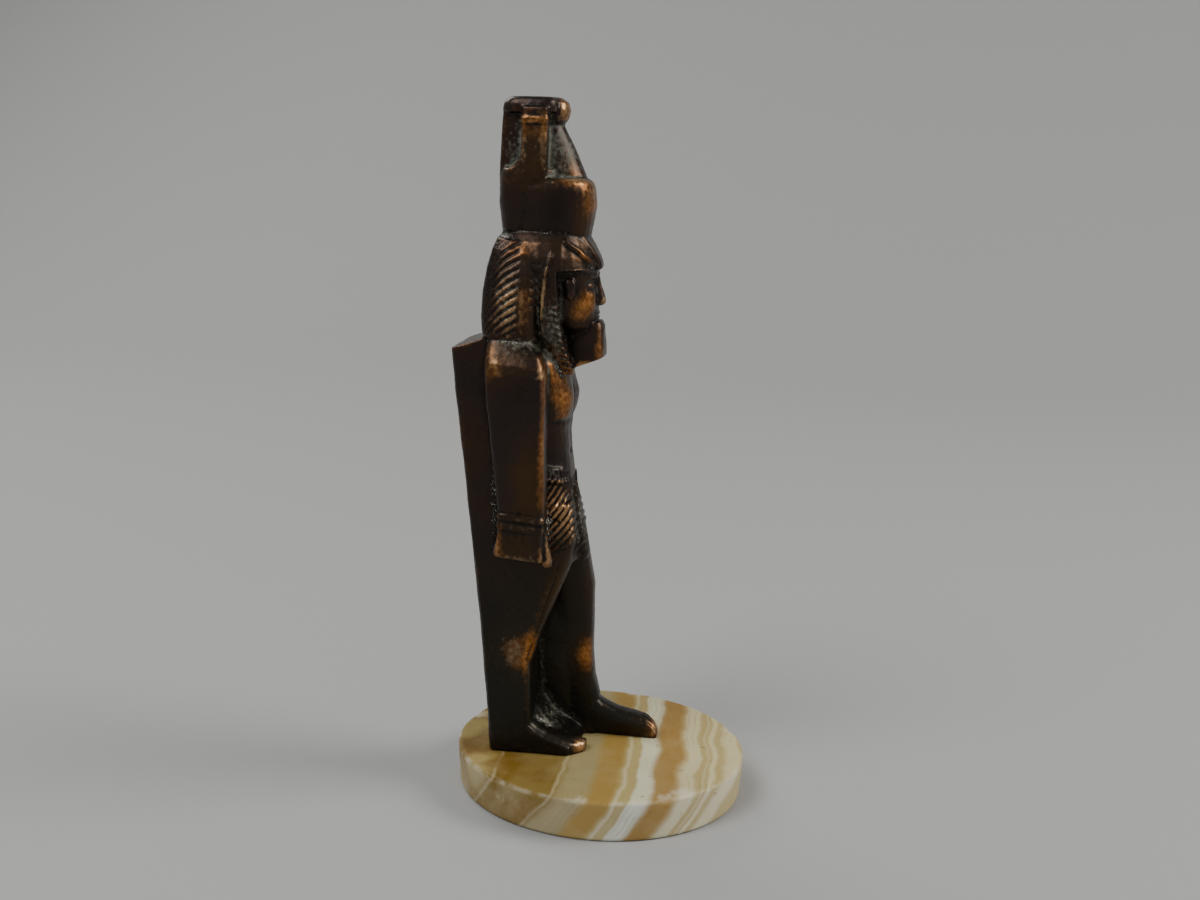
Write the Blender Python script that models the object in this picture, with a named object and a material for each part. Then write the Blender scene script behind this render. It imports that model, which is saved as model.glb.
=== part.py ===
"""A striding king with a tall crown and a back pillar, one solid casting, on a sawn onyx base.

The figure faces -Y and its right side is at -X. The origin is under the middle of the base.
"""

import math

import bmesh
import bpy
import numpy as np

# Sizes of the real object, in metres.
BASE_LONG = 0.0794
BASE_SHORT = 0.0760
BASE_THICKNESS = 0.0111
BASE_EDGE_ROUND = 0.0008
BASE_DRAW_IN = 0.0006
BASE_TURN = math.radians(52)
FIGURE_HEIGHT = 0.1712
SEAT_GAP = 0.0003
PILLAR_HALF_WIDTH = 0.0128

# The carving below is given on a master figure, in its own millimetres, and is scaled to FIGURE_HEIGHT.
MASTER_HEIGHT = 171.2
SCALE = FIGURE_HEIGHT / MASTER_HEIGHT
SOLE_HEIGHT = BASE_THICKNESS + SEAT_GAP
PILLAR = PILLAR_HALF_WIDTH / SCALE

# How finely the joined forms are remeshed, and how many triangles the solid keeps.
VOXEL = 0.55
FIGURE_TRIANGLES = 9000
SOLE_STOCK = 1.5

BRONZE = ((0.060, 0.034, 0.020), 0.32, 0.9)
ONYX = ((0.62, 0.47, 0.25), 0.28, 0.0)


def clear_scene():
    for thing in list(bpy.data.objects):
        bpy.data.objects.remove(thing)


def material(name, look):
    colour, roughness, metallic = look
    made = bpy.data.materials.new(name)
    made.use_nodes = True
    shader = made.node_tree.nodes["Principled BSDF"]
    shader.inputs["Base Color"].default_value = (*colour, 1)
    shader.inputs["Roughness"].default_value = roughness
    shader.inputs["Metallic"].default_value = metallic
    return made


# Lofted forms. A station is one cross-section: its place along the form, then the middle and half
# width from side to side, then where it starts and ends in the third direction.
def ring(bm, station, square, slope, along, sides):
    place, middle, half, low, high = station
    made = bmesh.ops.create_circle(bm, segments=sides, radius=1)["verts"]
    for vert in made:
        turn = math.atan2(vert.co.y, vert.co.x)
        across, deep = math.cos(turn), math.sin(turn)
        across = math.copysign(abs(across) ** (2 / square), across)
        deep = math.copysign(abs(deep) ** (2 / square), deep)
        side = middle + half * across
        other = (low + high) / 2 + (high - low) / 2 * deep
        if along == "z":
            vert.co = (side, other, place + slope * (other - (low + high) / 2))
        else:
            vert.co = (side, place, other)
    return list({edge for vert in made for edge in vert.link_edges})


def loft(bm, stations, square=2.4, slope=0.0, along="z", sides=28):
    rings = [ring(bm, station, square, slope, along, sides) for station in stations]
    for lower, upper in zip(rings, rings[1:]):
        bmesh.ops.bridge_loops(bm, edges=lower + upper)
    for end in (rings[0], rings[-1]):
        bmesh.ops.contextual_create(bm, geom=end)


def both_sides(stations):
    """The same stations for the left side and, mirrored, for the right."""
    mirrored = [(place, -middle, half, low, high) for place, middle, half, low, high in stations]
    return stations, mirrored


def add_pillar(bm):
    stations = [
        (-4 - SOLE_STOCK, 0, PILLAR, 17.0, 28.3),
        (10, 0, PILLAR, 17.5, 29.5),
        (34, 0, PILLAR, 19.0, 31.8),
        (48, 0, PILLAR, 19.8, 33.4),
        (66, 0, PILLAR, 20.9, 35.6),
        (84, 0, PILLAR, 22.0, 37.8),
        (98, 0, PILLAR, 23.0, 39.7),
        (110.8, 0, PILLAR, 24.0, 41.1),
    ]
    loft(bm, stations, square=9, slope=-0.35, sides=44)


def add_crown(bm):
    drum = [
        (134, 0, 10.0, 7.6, 29.7),
        (137, 0, 10.0, 7.2, 29.8),
        (141, 0, 10.3, 6.5, 30.3),
        (145, 0, 10.6, 5.9, 30.6),
        (148.6, 0, 10.6, 6.3, 30.6),
        (150.4, 0, 10.2, 7.0, 30.3),
        (151.4, 0, 9.4, 8.6, 29.9),
    ]
    loft(bm, drum, square=2.4)
    collar = [
        (138, 0, 9.4, 15.2, 29.7),
        (145, 0, 10.2, 14.8, 30.6),
        (150, 0, 10.2, 14.8, 30.5),
        (152.2, 0, 10.0, 15.0, 30.2),
        (153.5, 0, 9.7, 15.2, 29.8),
    ]
    loft(bm, collar, square=3)
    cone = [
        (148, 0, 7.4, 8.2, 26),
        (152, 0, 7.0, 8.8, 26),
        (157, 0, 6.1, 11.0, 26),
        (161.8, 0, 5.0, 13.5, 26),
        (165, 0, 4.2, 15.1, 26),
        (168, 0, 4.0, 15.1, 26),
    ]
    loft(bm, cone, square=2.1)
    knob = [
        (163.8, 0, 3.0, 15.4, 20),
        (165.8, 0, 4.2, 13.8, 20),
        (168, 0, 4.6, 13.3, 20),
        (170, 0, 4.2, 13.9, 20),
        (171.2, 0, 3.0, 15.8, 20),
    ]
    loft(bm, knob, square=2.3)
    back = [(148, 0, 6.2, 20, 30.6), (158, 0, 6.0, 20, 30.4), (169, 0, 5.8, 20, 29.9)]
    loft(bm, back, square=6)
    cap = [
        (167.2, 0, 7.2, 16.0, 29.8),
        (168, 0, 7.6, 15.6, 30.2),
        (169.6, 0, 7.5, 15.7, 29.9),
        (170.6, 0, 7.0, 16.2, 29.2),
        (171.2, 0, 6.2, 17.2, 28.0),
    ]
    loft(bm, cap, square=4, slope=-0.02)
    post = [(150, 7.5, 2.7, 17.6, 24.7), (158, 7.3, 2.6, 17.7, 24.4), (168.6, 6.9, 2.5, 17.8, 24.2)]
    lintel = [(164.9, 7.1, 2.9, 17.5, 24.6), (166.1, 7.1, 2.9, 17.5, 24.6)]
    # A curved fillet leads from the post down to the floor of the hollow behind it.
    fillet = [
        (152.6, 7.2, 2.4, 24, 28.0),
        (153.5, 7.2, 2.4, 24, 27.0),
        (154.2, 7.2, 2.4, 24, 26.0),
        (155.2, 7.2, 2.4, 24, 25.2),
        (156.6, 7.2, 2.4, 24, 24.6),
    ]
    for side in both_sides(post):
        loft(bm, side, square=6)
    for side in both_sides(fillet):
        loft(bm, side, square=7)
    for side in both_sides(lintel):
        loft(bm, side, square=6)


def add_headdress(bm):
    hood = [
        (138.4, 0, 9.4, 8.9, 28.9),
        (137.2, 0, 10.8, 8.0, 29.9),
        (135.2, 0, 12.4, 7.0, 30.8),
        (132, 0, 13.8, 5.6, 32.0),
        (128.6, 0, 14.5, 5.0, 32.8),
    ]
    loft(bm, hood, square=2.4)
    brow_plate = [
        (137.6, 0, 6.6, 8.3, 16),
        (136.4, 0, 6.4, 7.4, 16),
        (134.6, 0, 5.8, 6.1, 14),
        (132.4, 0, 4.9, 4.8, 12),
        (130.8, 0, 4.2, 4.0, 12),
        (129.4, 0, 3.6, 3.7, 10),
        (128.6, 0, 3.0, 4.0, 10),
    ]
    loft(bm, brow_plate, square=5)
    wings = [
        (135.4, 0, 12.0, 12.8, 30.5),
        (132.9, 0, 13.7, 14.8, 31.5),
        (128, 0, 15.4, 16.2, 32.7),
        (121.6, 0, 16.6, 16.9, 33.5),
        (115.6, 0, 17.0, 17.2, 33.8),
        (111.8, 0, 16.9, 17.0, 33.6),
        (110.6, 0, 16.5, 17.2, 33.3),
    ]
    loft(bm, wings, square=3.4, slope=0.1)
    lappet = [
        (129, 12.2, 2.2, 13.8, 19),
        (122, 11.9, 2.4, 13.3, 19),
        (117, 11.4, 2.6, 13.0, 18),
        (111, 10.0, 2.8, 11.7, 17),
        (106, 8.6, 2.8, 10.0, 15),
        (102.2, 7.2, 2.6, 9.3, 13.5),
    ]
    for side in both_sides(lappet):
        loft(bm, side, square=4, sides=20)


def add_face(bm):
    head = [
        (134, 0, 10.6, 6.2, 26),
        (130, 0, 11.2, 5.1, 26),
        (126, 0, 11.0, 4.9, 25),
        (121, 0, 10.2, 4.8, 23),
        (117, 0, 9.0, 4.8, 21),
        (114, 0, 7.0, 5.0, 20),
        (112, 0, 5.0, 5.6, 20),
        (110.6, 0, 3.4, 7.4, 20),
    ]
    loft(bm, head, square=2.3)
    nose = [(128, 0, 1.1, 4.9, 8), (124.6, 0, 1.2, 4.0, 8), (121.2, 0, 1.6, 2.7, 8), (120, 0, 2.0, 2.6, 8), (119.2, 0, 1.6, 3.4, 8)]
    loft(bm, nose, square=2, sides=14)
    ear = [(121.6, 9.6, 1.0, 10.2, 11.8), (123, 9.9, 1.2, 9.6, 12.0), (125.4, 10.3, 1.2, 9.2, 12.4), (126.6, 10.2, 0.9, 9.8, 12.0)]
    for side in both_sides(ear):
        loft(bm, side, square=2.2, sides=14)
    beard = [(113.4, 0, 4.4, 3.6, 15), (110.6, 0, 5.0, 2.8, 15), (107, 0, 5.6, 2.4, 14), (104.2, 0, 5.9, 2.4, 13)]
    loft(bm, beard, square=4, slope=-0.36)


def add_torso(bm):
    neck = [(120, 0, 9.6, 14.2, 29), (112, 0, 9.2, 12.6, 29), (103, 0, 8.4, 11.2, 29)]
    loft(bm, neck, square=5)
    trunk = [
        (111.4, 0, 13.4, 17.4, 31),
        (109.4, 0, 14.2, 16.2, 31),
        (107.6, 0, 14.4, 13.8, 31),
        (105, 0, 14.8, 11.8, 31.2),
        (101, 0, 15.2, 10.9, 31.5),
        (96, 0, 14.6, 10.2, 31.5),
        (91.8, 0, 12.9, 10.4, 31),
        (86, 0, 10.8, 10.9, 30.5),
        (80.5, 0, 10.2, 10.5, 30),
        (75, 0, 11.0, 9.7, 29.5),
        (69, 0, 12.0, 9.1, 29),
        (60, 0, 12.4, 7.5, 28.5),
        (52, 0, 12.0, 6.8, 28),
    ]
    loft(bm, trunk, square=2.7)


def add_arms(bm):
    arm = [
        (112.0, 12.6, 3.2, 20.5, 29.8),
        (110.2, 13.4, 3.6, 19.0, 30.3),
        (107.9, 14.4, 4.2, 16.6, 30.6),
        (105.2, 15.3, 4.8, 15.5, 30.8),
        (102.6, 15.7, 5.0, 15.1, 30.7),
        (96, 16.0, 5.0, 14.9, 30.2),
        (87, 16.1, 4.8, 14.8, 29.0),
        (77, 16.0, 4.5, 14.5, 27.8),
        (67, 15.8, 4.2, 14.4, 26.6),
        (62, 15.7, 4.0, 14.6, 26.2),
    ]
    band = [(66.6, 15.8, 4.5, 14.1, 26.8), (63.0, 15.8, 4.5, 14.1, 26.8)]
    fist = [
        (63.4, 15.8, 4.1, 14.7, 26.3),
        (59.6, 15.8, 4.3, 14.5, 26.6),
        (56.4, 15.8, 4.8, 14.4, 27.3),
        (55.2, 15.8, 4.6, 14.6, 27.0),
    ]
    thumb = [(63, 16.2, 2.0, 14.0, 17.4), (58.6, 16.4, 2.1, 13.2, 16.2), (54.8, 16.6, 2.0, 12.3, 15.2), (53.2, 16.6, 1.6, 12.5, 14.6)]
    for stations, square in ((arm, 4.6), (band, 6), (fist, 8), (thumb, 3)):
        for side in both_sides(stations):
            loft(bm, side, square=square, slope=0.08)


def add_kilt(bm):
    apron = [(72, 0, 2.8, 8.6, 16), (64, 0, 3.6, 7.0, 16), (57, 0, 4.2, 5.4, 16), (51.8, 0, 4.4, 4.7, 14)]
    loft(bm, apron, square=5)
    belt = [(78.4, 0, 11.2, 10.2, 27), (74.8, 0, 11.9, 9.6, 27)]
    loft(bm, belt, square=2.8, slope=0.16)


def add_legs(bm):
    trailing = [
        (68, -6.4, 5.6, 9.0, 26),
        (58, -6.8, 5.9, 7.4, 26),
        (50, -7.0, 5.9, 9.0, 26),
        (43, -7.1, 5.7, 11.7, 26),
        (36, -7.3, 5.5, 14.4, 26),
        (27.5, -7.7, 5.1, 17.0, 26),
        (20.5, -8.1, 4.7, 19.0, 26),
        (15.5, -8.3, 4.5, 20.0, 26),
        (8, -8.3, 4.5, 19.0, 26),
        (-SOLE_STOCK, -8.4, 4.5, 18.4, 26),
    ]
    advanced = [
        (68, 6.4, 5.6, 9.4, 26),
        (58, 6.9, 5.8, 6.9, 24),
        (48, 7.2, 5.6, 5.0, 20),
        (42, 7.4, 5.3, 3.9, 17),
        (34, 7.6, 5.0, 3.7, 15.6),
        (23, 7.8, 4.7, 3.7, 14),
        (15.5, 8.0, 4.4, 3.0, 12),
        (10.5, 8.1, 4.2, 1.6, 11.2),
        (-SOLE_STOCK, 8.2, 4.2, 0.2, 11),
    ]
    web = [(58, 7.6, 4.9, 9, 27), (30, 7.7, 4.9, 9, 27), (-SOLE_STOCK, 8.0, 4.6, 8.5, 27)]
    behind = [
        (58, -2.4, 6.4, 11.0, 26),
        (50, -2.4, 6.4, 12.8, 26),
        (43, -2.4, 6.4, 15.4, 26),
        (36, -2.4, 6.4, 18.0, 26),
        (27.5, -2.4, 6.4, 20.4, 26),
        (18, -2.4, 6.4, 21.6, 26),
        (-SOLE_STOCK, -2.4, 6.4, 21.6, 26),
    ]
    scoop = [
        (18, -4, 4, 19.4, 24),
        (12, -2, 6, 17.2, 24),
        (7, -1, 6, 13.6, 24),
        (4, 0, 6.5, 9.4, 24),
        (2.2, 0, 7, 6.2, 22),
        (-SOLE_STOCK, 0, 7, 4.6, 22),
    ]
    loft(bm, trailing, square=2.6)
    loft(bm, advanced, square=2.8)
    loft(bm, web, square=6)
    loft(bm, behind, square=6)
    loft(bm, scoop, square=5)


def add_feet(bm):
    # Stations of a foot run forwards from the ankle to the toes.
    trailing = [
        (24, -8.5, 4.3, -SOLE_STOCK, 14.5),
        (20.8, -8.5, 4.3, -SOLE_STOCK, 13.4),
        (19.6, -8.5, 4.3, -SOLE_STOCK, 11.4),
        (18.2, -8.5, 4.3, -SOLE_STOCK, 9.2),
        (16.2, -8.5, 4.3, -SOLE_STOCK, 7.2),
        (13.4, -8.5, 4.3, -SOLE_STOCK, 5.6),
        (9, -8.5, 4.3, -SOLE_STOCK, 4.0),
        (6.6, -8.1, 3.8, -SOLE_STOCK, 3.3),
        (4.6, -7.2, 2.9, -SOLE_STOCK, 2.8),
        (3.2, -6.4, 2.0, -SOLE_STOCK, 2.3),
    ]
    advanced = [
        (9, 8.2, 4.1, -SOLE_STOCK, 13),
        (3.6, 8.2, 4.1, -SOLE_STOCK, 11.2),
        (0.4, 8.2, 4.1, -SOLE_STOCK, 8.6),
        (-3.5, 8.2, 4.2, -SOLE_STOCK, 6.8),
        (-8.5, 8.2, 4.3, -SOLE_STOCK, 5.7),
        (-11.8, 7.9, 4.0, -SOLE_STOCK, 4.8),
        (-13.8, 7.2, 3.2, -SOLE_STOCK, 3.4),
        (-15.0, 6.6, 2.2, -SOLE_STOCK, 1.6),
    ]
    loft(bm, trailing, square=3.0, along="y")
    loft(bm, advanced, square=2.8, along="y")


def evaluated_mesh(thing):
    graph = bpy.context.evaluated_depsgraph_get()
    return bpy.data.meshes.new_from_object(thing.evaluated_get(graph))


def with_modifier(thing, kind, **settings):
    """Gives the object a modifier and makes its result the object's own mesh."""
    modifier = thing.modifiers.new(kind.title(), kind)
    for key, value in settings.items():
        setattr(modifier, key, value)
    bpy.context.view_layer.update()
    made = evaluated_mesh(thing)
    thing.modifiers.clear()
    thing.data = made


# Carving. Each function takes the master figure's points and how they face, and says how far
# each point is pressed in.
def smooth_step(value, low, high):
    t = np.clip((value - low) / (high - low), 0, 1)
    return t * t * (3 - 2 * t)


def along_to(z, heights, values):
    return np.interp(z, heights, values)


def groove(phase, width):
    """1 in the middle of a groove that comes once in each unit of phase, 0 on the land between."""
    away = np.abs(phase - np.round(phase))
    return 1 - smooth_step(away, 0, width)


def headdress_stripes(x, y, z, facing):
    """Folds of the cloth, short beside the face and drooping steeply to the back of a smooth band."""
    height = smooth_step(z, 111.4, 112.6) * (1 - smooth_step(z, 135.0, 136.6))
    around = (y - 23) + np.clip(15.5 - np.abs(x), 0, None) * smooth_step(y, 28, 31)
    droop = 0.4 * around + 0.05 * np.clip(around, 0, None) ** 2
    reach = smooth_step(around, -0.4, 0.6) * (1 - smooth_step(around, 11, 15))
    drooping = groove((z + droop) / 2.15, 0.4) * reach
    beside = smooth_step(y, 17.4, 18.0) * (1 - smooth_step(y, 19.8, 20.4)) * (1 - smooth_step(z, 130, 131))
    short = groove((z - 0.2 * y) / 2.15, 0.36) * beside * smooth_step(z, 118, 119)
    outer = smooth_step(np.abs(x), 6, 9)
    return (0.42 * drooping + 0.3 * short) * outer * height


def headdress_edges(x, y, z, facing):
    """The raised hem of the cloth beside the face, and the ridge along the top of the brow band."""
    edge = along_to(z, (110, 115.6, 121.6, 128, 132.9), (16.4, 17.4, 17.0, 16.4, 15.1))
    beside = np.exp(-(((y - edge) / 0.42) ** 2)) * (np.abs(x) > 11) * smooth_step(z, 111, 112)
    beside = beside * (1 - smooth_step(z, 132, 134))
    ridge = along_to(y, (5.0, 5.6, 8.9, 12.2, 13.4), (129.6, 130.1, 133.6, 135.8, 136.2))
    over = (y > 4.5) * (1 - smooth_step(y, 12, 13.2)) * (np.abs(x) > 3)
    brow = np.exp(-(((z - ridge) / 0.55) ** 2)) * over
    below = smooth_step(ridge - z, 0.2, 1.0) * (z > 128.8) * over
    return -0.4 * beside - 0.45 * brow + 0.3 * below


def lappet_ribs(x, y, z, facing):
    middle = along_to(z, (102, 106, 111, 117, 122), (7.1, 8.6, 10.0, 11.4, 11.9))
    front = along_to(z, (102, 106, 111, 117, 122), (9.3, 10.0, 11.7, 13.0, 13.3))
    inside = (np.abs(x) > middle - 1.9) * (np.abs(x) < middle + 3.2) * (y < front + 2.4) * (y > front - 1)
    length = smooth_step(z, 102.4, 103.2) * (1 - smooth_step(z, 120, 122))
    return 0.36 * groove((z - 0.35 * y) / 1.6, 0.4) * length * inside


def kilt_cloth(x, y, z, facing):
    """The wrap stands proud of the thighs, its edge rising to the front, and its pleats curve back and down."""
    side = np.abs(x)
    hem = 55.8 + 0.42 * np.clip(13 - y, 0, None) + 1.2 * np.clip(8.2 - y, 0, None) ** 1.5
    top = 75.4 + 0.16 * (y - 18)
    open_side = (1 - smooth_step(y, 16.5, 18.5)) * (side < 12.9)
    cloth = smooth_step(z, hem - 0.4, hem + 0.4) * (1 - smooth_step(z, top - 0.5, top + 0.5)) * open_side
    # The pleats start from a spine that runs down and forwards, steeply at first, and bend back.
    behind = np.linspace(0, 16, 80)
    fall = 0.9 * behind + 3.4 * (1 - np.exp(-behind / 2))
    from_spine = y + 36.4 - 0.65 * z
    away = np.interp(from_spine, behind + 0.65 * fall, behind)
    start = z + np.interp(away, behind, fall)
    pleats = groove(start / 1.3, 0.36) * smooth_step(away, 0, 0.4) * cloth
    panel = (side < 4.2) * (y < 12)
    lines = groove(side / 1.1 + 0.5, 0.4) * (from_spine <= 0) * cloth
    apron = panel * smooth_step(z, 52.4, 53.2) * (1 - smooth_step(z, 63, 64))
    hatch = groove((z * 0.7 + side) / 1.3, 0.4) * apron
    return 0.42 * pleats + 0.25 * lines + 0.25 * hatch - 0.5 * cloth * ~panel


def belt_strokes(x, y, z, facing):
    middle = z - 0.16 * (y - 18)
    inside = smooth_step(middle, 75.2, 75.7) * (1 - smooth_step(middle, 77.2, 77.7)) * (y < 19)
    return 0.3 * groove(np.arctan2(x, 21 - y) / 0.11, 0.4) * inside * (np.abs(x) > 5) * (np.abs(x) < 12.4)


def face_features(x, y, z, facing):
    """A calm, plain face: brows, almond eyes, full cheeks, a closed mouth and a chin."""
    front = (y < 10.5) * (facing[:, 1] < 0.3)
    side = np.abs(x)
    brow = np.exp(-(((side - 4.4) / 2.9) ** 4) - ((z - 127.2 + 0.05 * (side - 2) ** 2) / 0.7) ** 2)
    socket = np.exp(-(((side - 4.2) / 2.8) ** 4) - ((z - 124.9) / 1.5) ** 2)
    eyeball = np.exp(-(((side - 4.3) / 1.9) ** 4) - ((z - 124.7) / 0.8) ** 2)
    cheek = np.exp(-(((side - 5.4) / 2.8) ** 2) - ((z - 120.4) / 2.8) ** 2)
    lips = np.exp(-((x / 2.7) ** 4) - ((z - 116.7) / 1.05) ** 2)
    parting = np.exp(-((x / 2.7) ** 4) - ((z - 116.7) / 0.32) ** 2)
    chin = np.exp(-((x / 2.8) ** 2) - ((z - 114.0) / 1.0) ** 2)
    pressed = 1.2 * socket - 1.1 * eyeball - 0.45 * brow - 0.5 * cheek - 0.9 * lips + 0.8 * parting - 0.4 * chin
    return pressed * front


def chest_forms(x, y, z, facing):
    front = (y < 16) * (facing[:, 1] < 0.1)
    side = np.abs(x)
    breast = np.exp(-(((side - 6.6) / 4.2) ** 2) - ((z - 95.0) / 4.6) ** 2)
    under = np.exp(-(((side - 6.6) / 4.0) ** 4) - ((z - 89.6) / 0.8) ** 2)
    middle = np.exp(-((x / 0.9) ** 2) - ((z - 91) / 9) ** 4)
    navel = np.exp(-((x**2 + (z - 80.6) ** 2) / 0.7**2))
    return (-1.0 * breast + 0.45 * under + 0.35 * middle + 0.6 * navel) * front


def wrist_rings(x, y, z, facing):
    outer = (np.abs(x) > 11.4) * (y < 27.4)
    level = z - 0.08 * (y - 20)
    return 0.35 * np.exp(-(((level - 64.8) / 0.7) ** 2)) * outer * (np.abs(facing[:, 2]) < 0.7)


def flush_sides(x, y, z, facing):
    """The outer sides of the legs are dressed flush with the pillar's."""
    side = np.abs(x)
    flat = smooth_step(np.abs(facing[:, 0]), 0.8, 0.95) * (side > PILLAR - 0.8) * (1 - smooth_step(z, 52, 54))
    return np.clip(side - PILLAR, -0.5, 0.5) * flat


def toe_grooves(x, y, z, facing):
    top = facing[:, 2] > 0.15
    advanced = smooth_step(-y, 10.0, 11.0) * (x > 4) * groove((x - 8.2 + 0.65) / 1.6 + 0.5, 0.3)
    trailing = smooth_step(-y, -7.4, -6.4) * (x < -4.4) * (z < 6) * groove((x + 8.6) / 1.6 + 0.5, 0.3)
    return 0.25 * (advanced + trailing) * top


def soften_web(mesh, rounds):
    """Rounds the corners of the hollow between the legs, where the casting is one smooth scoop."""
    bm = bmesh.new()
    bm.from_mesh(mesh)
    hollow = [
        vert
        for vert in bm.verts
        if -10.8 < vert.co.x < 4.6 and 1.2 < vert.co.z < 54 and 4.0 < vert.co.y < 25 and vert.normal.y < 0.3
    ]
    for _ in range(rounds):
        bmesh.ops.smooth_vert(bm, verts=hollow, factor=0.5, use_axis_x=True, use_axis_y=True, use_axis_z=True)
    bm.to_mesh(mesh)
    bm.free()


CARVINGS = (
    headdress_stripes,
    headdress_edges,
    lappet_ribs,
    kilt_cloth,
    belt_strokes,
    face_features,
    chest_forms,
    wrist_rings,
    flush_sides,
    toe_grooves,
)


def carve(mesh):
    count = len(mesh.vertices)
    points = np.empty(count * 3)
    facing = np.empty(count * 3)
    mesh.vertices.foreach_get("co", points)
    mesh.vertices.foreach_get("normal", facing)
    points, facing = points.reshape(-1, 3), facing.reshape(-1, 3)
    x, y, z = points.T
    pressed = sum(carving(x, y, z, facing) for carving in CARVINGS)
    points -= facing * pressed[:, None]
    mesh.vertices.foreach_set("co", points.ravel())
    mesh.update()


def cut_soles(mesh):
    """Saws the casting off flat under its soles."""
    bm = bmesh.new()
    bm.from_mesh(mesh)
    everything = bm.verts[:] + bm.edges[:] + bm.faces[:]
    bmesh.ops.bisect_plane(bm, geom=everything, plane_co=(0, 0, 0), plane_no=(0, 0, -1), clear_outer=True)
    bmesh.ops.holes_fill(bm, edges=[edge for edge in bm.edges if edge.is_boundary])
    bmesh.ops.triangulate(bm, faces=bm.faces[:])
    bm.to_mesh(mesh)
    bm.free()


def build_figure():
    bm = bmesh.new()
    for add in (add_pillar, add_crown, add_headdress, add_face, add_torso, add_arms, add_kilt, add_legs, add_feet):
        add(bm)
    bmesh.ops.recalc_face_normals(bm, faces=bm.faces[:])
    mesh = bpy.data.meshes.new("bronze_king")
    bm.to_mesh(mesh)
    bm.free()
    figure = bpy.data.objects.new("bronze_king", mesh)
    bpy.context.scene.collection.objects.link(figure)
    with_modifier(figure, "REMESH", mode="VOXEL", voxel_size=VOXEL, use_smooth_shade=True)
    with_modifier(figure, "SMOOTH", factor=0.5, iterations=3)
    soften_web(figure.data, 12)
    carve(figure.data)
    share = FIGURE_TRIANGLES / (2 * len(figure.data.polygons))
    with_modifier(figure, "DECIMATE", ratio=share)
    cut_soles(figure.data)
    top = max(vert.co.z for vert in figure.data.vertices)
    for vert in figure.data.vertices:
        vert.co.z *= MASTER_HEIGHT / top
        vert.co = vert.co * SCALE
    figure.location = (0, 0, SOLE_HEIGHT)
    figure.data.shade_smooth()
    figure.data.set_sharp_from_angle(angle=math.radians(40))
    figure.data.materials.clear()
    figure.data.materials.append(material("bronze", BRONZE))


def build_base():
    """A disc of onyx, a little longer one way, with eased edges and sides drawn in towards the foot."""
    round_steps = 2
    profile = []
    for step in range(round_steps + 1):
        turn = math.pi / 2 * step / round_steps
        inset = BASE_EDGE_ROUND * (1 - math.sin(turn))
        profile.append((BASE_EDGE_ROUND * (1 - math.cos(turn)), inset + BASE_DRAW_IN))
    for step in range(round_steps + 1):
        turn = math.pi / 2 * step / round_steps
        inset = BASE_EDGE_ROUND * (1 - math.cos(turn))
        profile.append((BASE_THICKNESS - BASE_EDGE_ROUND * (1 - math.sin(turn)), inset))
    bm = bmesh.new()
    stations = [(height, 0, BASE_LONG / 2 - inset, inset - BASE_SHORT / 2, BASE_SHORT / 2 - inset) for height, inset in profile]
    loft(bm, stations, square=2, sides=64)
    bmesh.ops.recalc_face_normals(bm, faces=bm.faces[:])
    mesh = bpy.data.meshes.new("onyx_base")
    bm.to_mesh(mesh)
    bm.free()
    base = bpy.data.objects.new("onyx_base", mesh)
    bpy.context.scene.collection.objects.link(base)
    base.rotation_euler = (0, 0, BASE_TURN)
    mesh.shade_smooth()
    mesh.set_sharp_from_angle(angle=math.radians(40))
    mesh.materials.append(material("onyx", ONYX))


def main():
    clear_scene()
    build_base()
    build_figure()


main()
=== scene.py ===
"""Looks of the bronze king on its onyx disc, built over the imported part.

Metres, +Z up, the figure faces -Y. Forms and marks are given in millimetres on the master figure.
"""

import math

import bmesh
import bpy
import numpy as np
from mathutils import Matrix, Vector, noise


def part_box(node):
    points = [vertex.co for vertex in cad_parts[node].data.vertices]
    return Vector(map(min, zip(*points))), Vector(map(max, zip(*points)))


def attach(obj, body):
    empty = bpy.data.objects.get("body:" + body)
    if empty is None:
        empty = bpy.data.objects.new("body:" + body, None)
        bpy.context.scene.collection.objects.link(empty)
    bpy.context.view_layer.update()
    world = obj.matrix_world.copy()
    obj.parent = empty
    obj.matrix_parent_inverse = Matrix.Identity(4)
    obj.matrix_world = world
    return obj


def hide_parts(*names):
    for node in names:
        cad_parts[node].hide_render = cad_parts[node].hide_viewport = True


MM = 0.001

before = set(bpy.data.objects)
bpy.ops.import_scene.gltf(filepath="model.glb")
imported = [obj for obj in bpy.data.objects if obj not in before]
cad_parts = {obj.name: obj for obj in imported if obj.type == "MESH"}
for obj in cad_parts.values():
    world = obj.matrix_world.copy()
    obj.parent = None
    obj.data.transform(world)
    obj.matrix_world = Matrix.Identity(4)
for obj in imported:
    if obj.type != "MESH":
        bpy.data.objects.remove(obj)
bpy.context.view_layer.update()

# Camera
# It stands at the figure's right, level with the crown, and looks slightly down,
# as the photo was taken. Its place, lens and sensor are in millimetres.
CAMERA_PLACE = (-383.9, -44.2, 173.4)
CAMERA_HEADING = math.radians(-83.0)
CAMERA_PITCH = math.radians(90 - 11.83)
CAMERA_ROLL = math.radians(2.0)
CAMERA_LENS = 45
CAMERA_SENSOR = 36

camera_data = bpy.data.cameras.new("camera")
camera_data.sensor_width = CAMERA_SENSOR
camera_data.lens = CAMERA_LENS
camera_data.clip_start = 0.01
camera = bpy.data.objects.new("camera", camera_data)
bpy.context.scene.collection.objects.link(camera)
camera.matrix_world = (
    Matrix.Translation(Vector(CAMERA_PLACE) * MM)
    @ Matrix.Rotation(CAMERA_HEADING, 4, "Z")
    @ Matrix.Rotation(CAMERA_PITCH, 4, "X")
    @ Matrix.Rotation(CAMERA_ROLL, 4, "Z")
)
bpy.context.scene.camera = camera

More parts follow.
